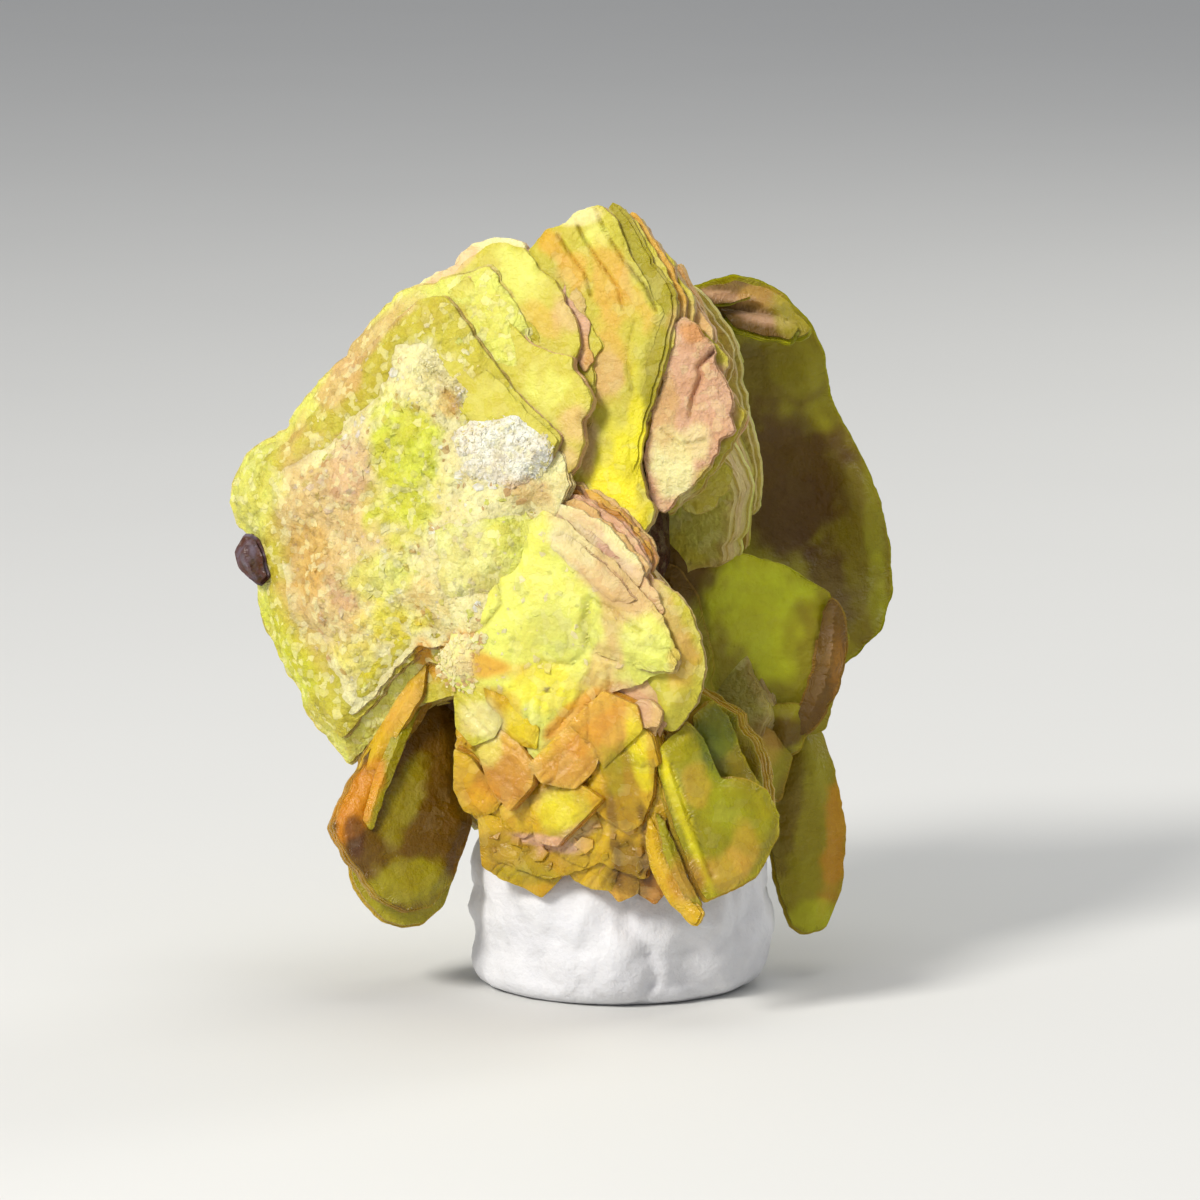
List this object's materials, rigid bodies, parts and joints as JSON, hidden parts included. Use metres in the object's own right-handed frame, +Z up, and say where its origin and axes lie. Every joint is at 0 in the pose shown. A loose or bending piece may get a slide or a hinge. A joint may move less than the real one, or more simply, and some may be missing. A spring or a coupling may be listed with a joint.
{
  "type": "uranocircite specimen",
  "caption": "Rosette of thin tabular yellow-green mineral crystals grown together, standing in a low pellet of white mounting putty.",
  "frame": {"origin": "middle of the putty's flat foot, on the surface that the specimen stands on", "axes": "+Z up, the displayed face towards -Y, +X to the viewer's right"},
  "size_m": [0.0134, 0.01, 0.0158],
  "materials": {
    "crystal": "satin to pearly yellow-green mineral plates with ochre, rose and orange-brown staining and pale druse",
    "putty": "soft matte white putty"
  },
  "bodies": {
    "root": {"crystal_cluster": "crystal", "mounting_putty": "putty"}
  },
  "joints": []
}
